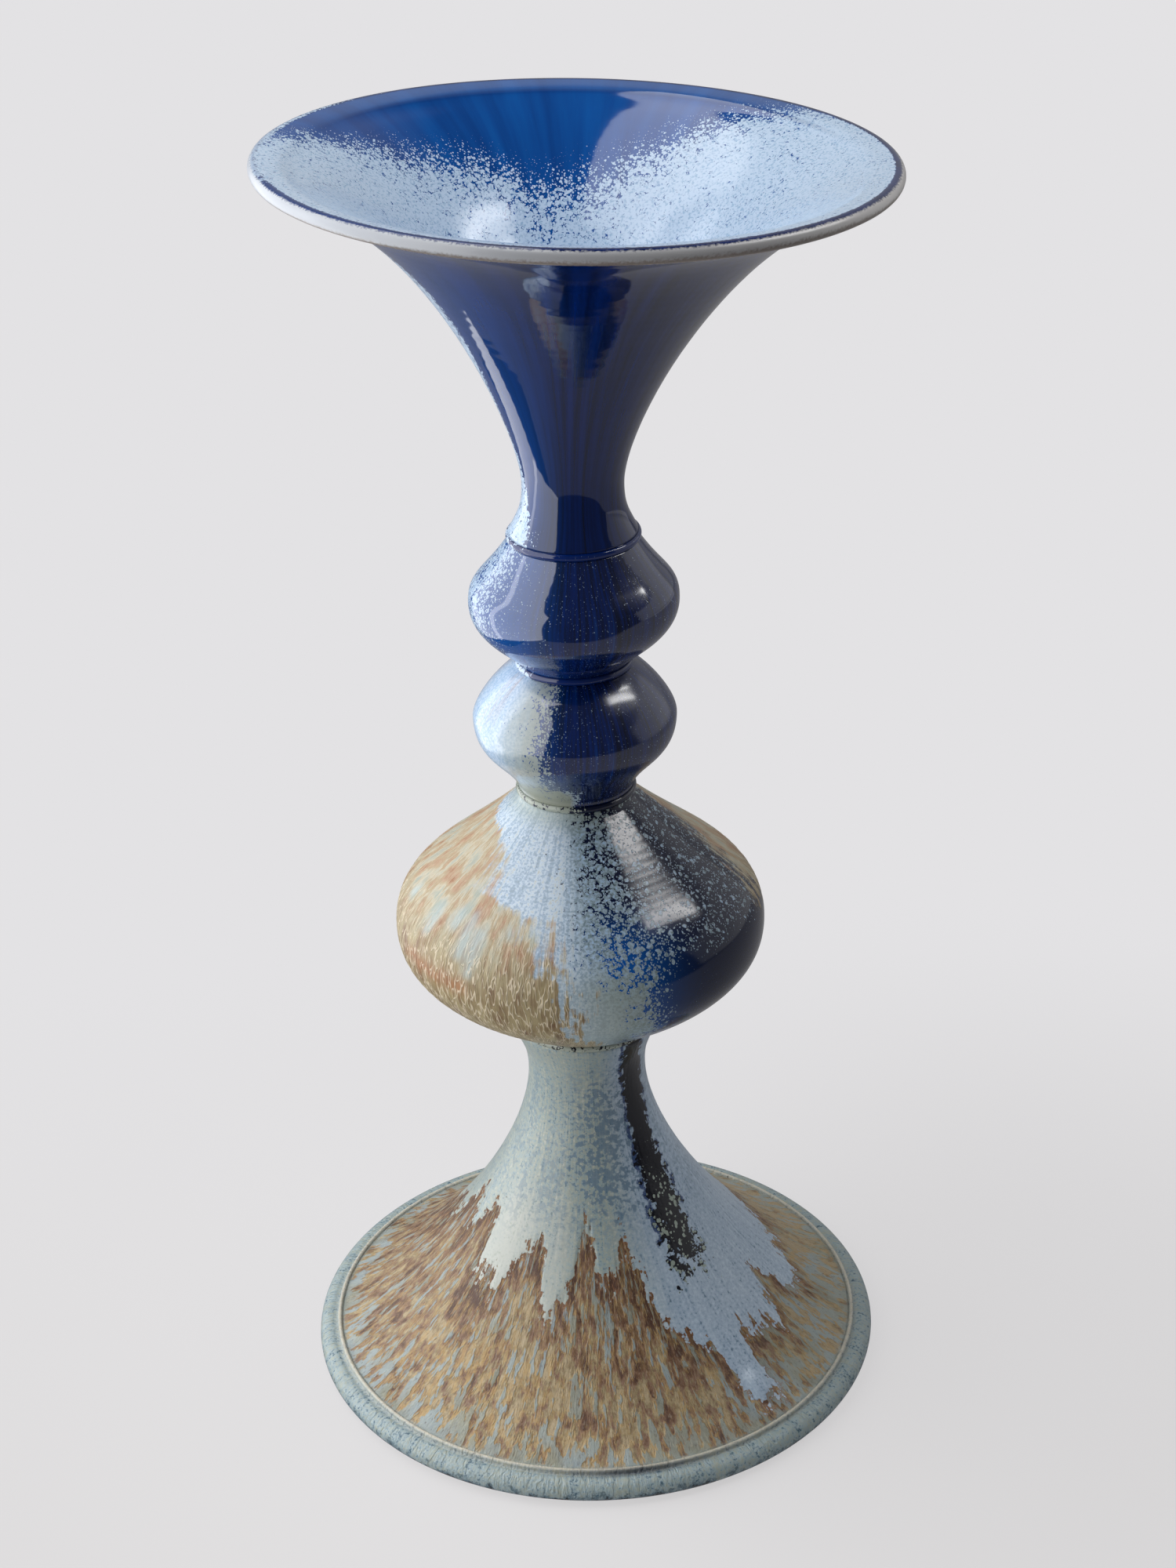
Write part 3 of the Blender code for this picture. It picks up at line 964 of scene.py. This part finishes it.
def foot_glaze():
    glaze = Glaze("foot_glaze")
    pale = glaze.attribute("pale")
    skirt = glaze.attribute("skirt")
    fine = glaze.drawn(130, 420)
    broad = glaze.drawn(5, 26, detail=3)
    patch = glaze.drawn(22, 110, detail=5, roughness=0.65)
    golden = glaze.drawn(26, 120, detail=5, roughness=0.65)
    drips = glaze.noise(glaze.jittered(glaze.scaled(glaze.flow, 32, 84), 1.6, 0.7), detail=3)
    mottle = glaze.mottle(700)
    blotch = glaze.noise(glaze.place, 190, detail=3)
    runs = glaze.drawn(42, 26, detail=3)

    tone = glaze.shaken(patch, broad, 0.07, 0.35)
    # Painted light and shade: the skirt's tone lifted on the right and darkened on the left
    tone = glaze.plus(tone, "leaning")
    tone = glaze.plus(tone, glaze.step(pale, -20, 0, 0.03, -0.13))
    tone = glaze.minus(tone, glaze.times("dusky", 0.12))
    body = glaze.ramp(tone, (0.34, DARK_BROWN), (0.41, BROWN), (0.47, MAUVE), (0.53, OLIVE), (0.60, TAN))
    gold = glaze.plus(glaze.times("warm", 0.5), 0.18)
    body = glaze.mix(glaze.times(glaze.step(golden, 0.48, 0.60), gold), body, OCHRE)
    drip_edge = glaze.minus(0.565, glaze.times("celadon", 0.10))
    over = glaze.minus(drips, drip_edge)
    outline = glaze.times(glaze.step(over, -0.06, -0.02), glaze.step(over, -0.005, 0.015, 0.55, 0))
    body = glaze.mix(outline, body, OCHRE)
    drip = glaze.ramp(broad, (0.40, CELADON_DIM), (0.58, CELADON_BLUE))
    body = glaze.mix(glaze.step(over, -0.01, 0.05, 0, 0.8), body, drip)
    body = glaze.mix(glaze.step(fine, 0.56, 0.72, 0, 0.35), body, SAND)
    body = glaze.mix(glaze.step(fine, 0.28, 0.44, 0.55, 0), body, DARK_BROWN)

    spots = glaze.plus(glaze.times(mottle, 0.6), glaze.times(runs, 0.4))
    celadon = glaze.ramp(spots, (0.36, SLATE), (0.44, CELADON_BLUE), (0.54, CELADON), (0.66, WHITE_GLAZE))
    periwinkle = glaze.ramp(spots, (0.34, GAP_BLUE), (0.42, PERIWINKLE), (0.66, RUN_BLUE))
    whitish = glaze.ramp(spots, (0.34, CELADON), (0.48, WHITE_GLAZE))
    cover = glaze.mix("cool", celadon, periwinkle)
    cover = glaze.mix("white", cover, whitish)
    frayed = glaze.mottle(420)
    clouded = glaze.shaken(frayed, broad, 0.06, 0.35)
    cover = glaze.mix(glaze.step(clouded, 0.48, 0.60, 0, "clouds"), cover, GAP_BLUE)
    gaps = glaze.plus("open", glaze.step(frayed, 0.35, 0.65, -1.15, 0.05))
    cover = glaze.mix(glaze.step(gaps, 0.1, 0.3, 0, 0.65), cover, GAP_BLUE)

    sprinkled = glaze.times("sprinkled", glaze.step(blotch, 0.3, 0.7, 0.15, 0.6))
    flakes = glaze.crystals(sprinkled, 2 * MM)
    inky = glaze.mix(flakes, INK, CRYSTAL_GREEN)
    ink = glaze.shaken("ink", blotch, 4)
    ink = glaze.shaken(ink, mottle, 2)
    in_ink = glaze.step(ink, -0.6, 0.6)
    fringe = glaze.plus("fringe", glaze.step(blotch, 0.35, 0.65, -0.6, 0.3))
    cover = glaze.mix(glaze.step(fringe, 0.3, 0.6, 0, 0.85), cover, DEEP_BLUE)
    cover = glaze.mix(in_ink, cover, inky)

    ragged = glaze.shaken(pale, blotch, 4)
    ragged = glaze.shaken(ragged, runs, 2.5)
    ragged = glaze.shaken(ragged, mottle, 1.2)
    covered = glaze.step(ragged, -0.5, 0.5)
    stained = glaze.times(glaze.step(ragged, -3, -0.5), 0.5)
    body = glaze.mix(stained, body, RUST)
    colour = glaze.mix(covered, body, cover)

    low = glaze.shaken("low", blotch, 0.3)
    low = glaze.shaken(low, mottle, 0.2)
    band = glaze.ramp(spots, (0.36, TEAL), (0.46, CELADON_BLUE), (0.62, CELADON))
    band = glaze.mix(glaze.step(low, 0.45, 0.75, 0, 0.75), band, TEAL)
    band = glaze.mix(glaze.step(low, 0.8, 1, 0, 0.8), band, INK)
    colour = glaze.mix(skirt, band, colour)
    # Cream on the ridge's crest: partly paler glaze and partly a painted highlight
    colour = glaze.tint(colour, CREAM, "ridge", 0.6)
    colour = glaze.tint(colour, NAVY, "pooled", 0.9)

    roughness = glaze.blend(covered, DRY, glaze.blend(in_ink, SATIN, DEEP_GLOSS))
    roughness = glaze.blend(skirt, SOFT_GLOSS, roughness)
    rough_height = glaze.plus(glaze.step(over, -0.06, 0.04, 0, 0.6), fine)
    smooth_height = glaze.plus(1.3, glaze.times(mottle, 0.25))
    height = glaze.blend(covered, rough_height, smooth_height)
    return glaze.finish(colour, roughness, height, FOOT_BUMP)


def bulb_glaze():
    glaze = Glaze("bulb_glaze")
    density = glaze.attribute("crystal")
    rise = glaze.attribute("rise")
    fine = glaze.drawn(150, 60)
    drawn = glaze.drawn(30, 26)
    patch = glaze.drawn(10, 62, detail=5)
    mottle = glaze.mottle()
    blotch = glaze.noise(glaze.place, 160, detail=3)

    tone = glaze.shaken(patch, fine, 0.05)
    above = glaze.ramp(tone, (0.32, RUST), (0.40, ROSE), (0.48, TAN), (0.55, SAND), (0.66, CELADON))
    below = glaze.ramp(tone, (0.30, BROWN), (0.44, OLIVE), (0.60, KHAKI))
    body = glaze.mix(rise, below, above)
    body = glaze.tint(body, RUST, "rusty", 0.85)
    body = glaze.tint(body, PALE_RUN, "runs", 0.7)
    lines = glaze.drawn(46, 120, detail=1)
    # Cream along the combed ridges: partly paler glaze on them and partly a painted highlight, stronger on
    # the lower bulb
    ridge = glaze.step(glaze.math("ABSOLUTE", glaze.minus(lines, 0.5)), 0.01, 0.06, 1, 0)
    body = glaze.mix(glaze.times(ridge, glaze.blend(rise, 0.6, 0.15)), body, CREAM)
    body = glaze.mix(glaze.step(lines, 0.56, 0.66, 0, glaze.blend(rise, 0.35, 0.1)), body, BROWN)
    body = glaze.mix(glaze.step(fine, 0.28, 0.42, 0.2, 0), body, BROWN)

    small = glaze.crystals(glaze.times(density, 0.9), 1 * MM)
    large = glaze.crystals(density, 2.6 * MM)
    giant = glaze.crystals(glaze.times("big", 0.75), 4.5 * MM)
    flakes = glaze.most(glaze.most(small, large), giant)
    deep = glaze.mix("bright", NAVY, BRIGHT_COBALT)
    spots = glaze.plus(glaze.times(mottle, 0.55), glaze.times(drawn, 0.45))
    pale = glaze.ramp(spots, (0.36, FROST), (0.47, PERIWINKLE), (0.54, RUN_BLUE), (0.66, WHITE_GLAZE))
    frost = glaze.ramp(mottle, (0.38, SLATE), (0.52, FROST), (0.68, SKY_BLUE))
    pale = glaze.mix(glaze.step(density, 0.80, 1.45, 1, 0), pale, frost)
    pale = glaze.tint(pale, CRYSTAL_GREEN, "big", 0.6)
    pale = glaze.tint(pale, CRYSTAL_GREEN, "collar", 0.6)
    blue = glaze.mix(flakes, deep, pale)

    ragged = glaze.shaken("ochre", drawn, 6)
    ragged = glaze.shaken(ragged, blotch, 4)
    softness = glaze.blend(rise, 2.5, 8)
    bare = glaze.step(glaze.math("DIVIDE", ragged, softness), -1, 1)
    colour = glaze.mix(bare, blue, body)
    roughness = glaze.blend(bare, glaze.blend(flakes, DEEP_GLOSS, SOFT_GLOSS), RIDGED)
    raised = glaze.plus(fine, glaze.times(ridge, glaze.blend(rise, 1.6, 0.3)))
    height = glaze.blend(bare, glaze.times(flakes, 0.25), raised)
    return glaze.finish(colour, roughness, height, BULB_BUMP)


def bead_glaze(name):
    glaze = Glaze(name)
    density = glaze.attribute("crystal")
    fine = glaze.drawn(26, 20)
    mottle = glaze.mottle()
    small = glaze.crystals(density, 0.9 * MM)
    large = glaze.crystals(glaze.times(density, 0.9), 1.9 * MM)
    flakes = glaze.most(small, large)
    deep = glaze.ramp(fine, (0.36, NAVY), (0.62, COBALT), (0.85, BRIGHT_COBALT))
    deep = glaze.tint(deep, BRIGHT_COBALT, "bluer", 0.7)
    pale = glaze.ramp(mottle, (0.38, SKY_BLUE), (0.64, PALE_BLUE))
    pale = glaze.mix(glaze.step(density, 0.2, 0.9, 0.6, 0), pale, FROST)
    pale = glaze.mix("olive", pale, CELADON_DIM)
    colour = glaze.mix(flakes, deep, pale)
    stain = glaze.times("rust", glaze.step(fine, 0.42, 0.6, 0, 0.7))
    colour = glaze.mix(stain, colour, RUST)
    colour = glaze.tint(colour, RUST, "brown", 0.8)
    roughness = glaze.blend("hazy", glaze.blend(flakes, WET_GLOSS, CRYSTAL_GLOSS), HAZY_GLOSS)
    return glaze.finish(colour, roughness, glaze.times(flakes, FLAKE_RISE), FLAKE_BUMP, BEAD_IOR)


def trumpet_glaze():
    glaze = Glaze("trumpet_glaze")
    density = glaze.attribute("crystal")
    fine = glaze.drawn(14, 10)
    mottle = glaze.mottle()
    small = glaze.crystals(density, 1 * MM)
    large = glaze.crystals(glaze.times(density, 0.95), 1.9 * MM)
    flakes = glaze.most(small, large)
    outer = glaze.ramp(fine, (0.30, NAVY), (0.70, COBALT))
    outer = glaze.tint(outer, BRIGHT_COBALT, "bluer", 0.35)
    inner = glaze.ramp(fine, (0.3, COBALT_INSIDE), (0.7, BRIGHT_COBALT))
    deep = glaze.mix("inside", outer, inner)
    pale = glaze.ramp(mottle, (0.36, SKY_BLUE), (0.50, PALE_BLUE))
    colour = glaze.mix(flakes, deep, pale)
    colour = glaze.tint(colour, SKY_BLUE, "band", 0.10)
    colour = glaze.tint(colour, COBALT, "ledge", 0.5)

    side = glaze.shaken("lip_side", mottle, 0.5, 0.35)
    lip_colour_and_shade = glaze.mix("lip_shade", LIP_WHITE, LIP_BEIGE)
    # Painted shade: the lip's underside turns brown-grey, reaching further up towards the right, away from
    # the lamps on the left
    under = glaze.minus(side, glaze.times("lip_shade", 2.2))
    lip_colour_and_shade = glaze.mix(glaze.step(under, -4.8, -2.4, 1, 0), lip_colour_and_shade, LIP_BROWN)
    lip_colour_and_shade = glaze.mix("lip_back", lip_colour_and_shade, LIP_SLATE)
    on_lip = glaze.times(glaze.step(side, -6, -5), glaze.step(side, 2, 3.5, 1, 0))
    pooled = glaze.times(glaze.step(side, 2, 3.5), glaze.step(side, 4, 6, 1, 0))
    colour = glaze.mix(glaze.times(pooled, 0.35), colour, COBALT)
    colour = glaze.mix(on_lip, colour, lip_colour_and_shade)
    roughness = glaze.blend(on_lip, glaze.blend(flakes, WET_GLOSS, CRYSTAL_GLOSS), SATIN)
    return glaze.finish(colour, roughness, glaze.times(flakes, FLAKE_RISE), FLAKE_BUMP, TRUMPET_IOR)


# How softly the rings' light glaze thins out, and its cover on both sides
RING_SOFT = 26
RING_COVER = (1.1, 0.1)


def ring_glaze(name, dark, light, edge):
    """Glaze of a luting ring: light on the left and dark on the right, as on its neighbours."""
    glaze = Glaze(name)
    mottle = glaze.mottle()
    density = glaze.step("side", edge - RING_SOFT, edge + RING_SOFT, *RING_COVER)
    flakes = glaze.crystals(density, 1.4 * MM)
    colour = glaze.mix(flakes, dark, light)
    roughness = glaze.blend(flakes, RING_GLOSS, CRYSTAL_GLOSS)
    return glaze.finish(colour, roughness, mottle, RING_BUMP, TRUMPET_IOR)


# Beyond this angle at the back, the rings' glaze goes from light to dark once more, up to the seam
RING_FOLD = -110
# Luting rings: node, slot, dark and light glaze, and the angle where one gives way to the other
RINGS = (
    ("foot_joint_ring", "celadon_glaze", INK, CELADON, 35),
    ("collar_joint_ring", "celadon_glaze", NAVY, CELADON, -5),
    ("waist_joint_ring", "navy_glaze", COBALT, PALE_BLUE, -50),
    ("throat_joint_ring", "navy_glaze", COBALT, PALE_BLUE, -60),
)


def folded(angle):
    """An angle that runs back from the fold, so that both sides of the seam are alike."""
    steepness = (180 - RING_FOLD) / (180 + RING_FOLD)
    return np.where(angle < RING_FOLD, RING_FOLD - (angle - RING_FOLD) * steepness, angle)


def build_vase():
    foot = foot_piece()
    foot_fields(foot)
    add_piece(foot, "foot", foot_glaze())
    bulb = bulb_piece()
    bulb_fields(bulb)
    add_piece(bulb, "main_bulb", bulb_glaze())
    lower_bead = lower_bead_piece()
    bead_fields(lower_bead, pale_edge=-28, soft=26, cover=1.45, rust=0.8)
    add_piece(lower_bead, "lower_bead", bead_glaze("lower_bead_glaze"))
    upper_bead = upper_bead_piece()
    bead_fields(upper_bead, pale_edge=-56, soft=30, cover=0.55)
    add_piece(upper_bead, "upper_bead", bead_glaze("upper_bead_glaze"))
    trumpet = trumpet_piece()
    trumpet_fields(trumpet)
    add_piece(trumpet, "trumpet", trumpet_glaze())
    for node, slot, dark, light, edge in RINGS:
        ring = ring_piece(node + "_body", node)
        ring.fields["side"] = folded(ring.angle)
        add_piece(ring, node, ring_glaze(node + "_glaze", dark, light, edge))


# The studio: a pale table, cut away in front and on the left so that the gloss mirrors the dark room there
TABLE_CORNERS = (
    (-0.70, -0.75), (4.0, -0.75), (4.0, 4.0), (-4.0, 4.0), (-4.0, 0.6), (-0.42, 0.5), (-0.325, 0.03),
)
FLOOR_COLOUR = srgb(226, 225, 226)
FLOOR_NEAR = srgb(220, 218, 218)
FLOOR_NEAR_TO_FAR = (-0.45, 0.35)
FLOOR_ROUGHNESS = 0.8
FLOOR_IN_GLOSS = 0.36
BACKGROUND = srgb(227, 226, 228)
SHADOW_PLACE = (0.17, -0.04, 0.0)
SHADOW_REACH = (0.12, 0.48)
SHADOW_SHARE = 0.24
ROOM_DIM = 0.06
ROOM_PALE = 0.3
# The pale wall of the room: directions between which it starts at the back, at its foot and at its top
WALL_BEHIND = (-0.3, 0.5)
WALL_FOOT = (-0.1, 0.0)
WALL_TOP = (0.62, 0.8)
UP = (0, 0, 1)
# Soft boxes on the left: name, place, target, width, height, radiance and the way their height runs
LEFT_BOXES = (
    ("left_panel", (-0.52, -0.36, 0.66), (0, -0.36, 0.66), 0.84, 1.3, 2.0, UP),
    ("left_back_panel", (-0.436, 0.174, 0.5), (0.464, -0.256, 0.5), 0.39, 1.0, 1.9, UP),
    ("left_canopy", (-0.44, 0.175, 1.62), (-0.44, 0.175, 0.0), 0.8, 1.35, 2.3, (0, 1, 0)),
)
# Two narrow strips side by side on the right: name, shift across, width and radiance
RIGHT_STRIPS = (("right_strip_low", -0.10, 0.06, 12.0), ("right_strip_high", 0.07, 0.08, 11.0))
RIGHT_STRIP_LENGTH = 0.6
RIGHT_BOX_PLACE = Vector((0.708, 0.033, 1.145))
RIGHT_BOX_FACING = Vector((0.708, 0.033, 0.875))
RIGHT_BOX_ALONG = Vector((0.34, 0.521, -0.301))
RIGHT_PANEL = ("right_panel", (1.2, 0.3, 0.6), (0, 0, 0.35), 1.6, 0.8, 0.3, UP)


def table_material():
    """A plain pale table: the eye sees it evenly lit, but for the shadow, and the gloss sees it dimmer."""
    material = bpy.data.materials.new("table")
    nodes = Nodes(material)
    surface = nodes.tree.nodes["Principled BSDF"]
    surface.inputs["Base Color"].default_value = FLOOR_COLOUR
    surface.inputs["Roughness"].default_value = FLOOR_ROUGHNESS
    place = nodes.add("TexCoord").outputs["Object"]
    depth = nodes.axes(place)[1]
    tint = nodes.mix(nodes.slope(depth, *FLOOR_NEAR_TO_FAR), FLOOR_NEAR, BACKGROUND)
    distance = nodes.add("VectorMath")
    distance.operation = "DISTANCE"
    nodes.feed_all(distance, place, SHADOW_PLACE)
    evenness = nodes.step(distance.outputs["Value"], *SHADOW_REACH, 1 - SHADOW_SHARE, 1.0)
    path = nodes.add("LightPath")
    in_gloss = nodes.emission(BACKGROUND, FLOOR_IN_GLOSS)
    lit = nodes.either(path.outputs["Is Glossy Ray"], surface.outputs[0], in_gloss)
    even_share = nodes.times(path.outputs["Is Camera Ray"], evenness)
    shown = nodes.either(even_share, lit, nodes.emission(tint))
    nodes.feed(nodes.tree.nodes["Material Output"].inputs["Surface"], shown)
    return material


def add_floor():
    mesh = bpy.data.meshes.new("floor")
    mesh.from_pydata([(x, y, 0.0) for x, y in TABLE_CORNERS], [], [range(len(TABLE_CORNERS))])
    mesh.materials.append(table_material())
    floor = add_object("floor", mesh)


def add_softbox(name, place, target, width, height, radiance, along):
    """An area light that faces a target, with an even brightness and its height along a direction."""
    lamp = bpy.data.lights.new(name, "AREA")
    lamp.shape = "RECTANGLE"
    lamp.size = width
    lamp.size_y = height
    lamp.energy = radiance * math.pi * width * height
    softbox = add_object(name, lamp)
    back = (Vector(place) - Vector(target)).normalized()
    across = Vector(along).cross(back).normalized()
    turn = Matrix((across, back.cross(across), back)).transposed().to_4x4()
    softbox.matrix_world = Matrix.Translation(place) @ turn
    softbox.visible_camera = False


def add_world():
    """A room that is dim in front and overhead, and pale behind the table."""
    world = bpy.data.worlds.new("studio")
    nodes = Nodes(world)
    _, depth, rise = nodes.axes(nodes.add("TexCoord").outputs["Generated"])
    behind = nodes.slope(depth, *WALL_BEHIND, 0.0, ROOM_PALE)
    wall = nodes.times(nodes.slope(rise, *WALL_TOP, 1.0, 0.0), nodes.slope(rise, *WALL_FOOT))
    room = nodes.plus(nodes.times(behind, wall), ROOM_DIM)
    seen = nodes.add("LightPath").outputs["Is Camera Ray"]
    background = nodes.tree.nodes["Background"]
    nodes.feed(background.inputs["Color"], nodes.mix(seen, room, BACKGROUND))
    bpy.context.scene.world = world


def add_camera():
    lens = bpy.data.cameras.new("camera")
    lens.lens = CAMERA_LENS
    lens.sensor_width = CAMERA_SENSOR
    camera = add_object("camera", lens)
    turn = Matrix.Rotation(CAMERA_TILT, 4, "X") @ Matrix.Rotation(CAMERA_ROLL, 4, "Z")
    camera.matrix_world = Matrix.Translation(CAMERA_PLACE) @ turn
    bpy.context.scene.camera = camera


def add_studio():
    bpy.context.scene.view_settings.view_transform = "Standard"
    add_floor()
    add_world()
    for box in LEFT_BOXES:
        add_softbox(*box)
    across = RIGHT_BOX_ALONG.cross(RIGHT_BOX_FACING).normalized()
    for name, shift, width, radiance in RIGHT_STRIPS:
        place = RIGHT_BOX_PLACE + across * shift
        target = place - RIGHT_BOX_FACING
        add_softbox(name, place, target, width, RIGHT_STRIP_LENGTH, radiance, RIGHT_BOX_ALONG)
    add_softbox(*RIGHT_PANEL)


build_vase()
add_studio()
add_camera()
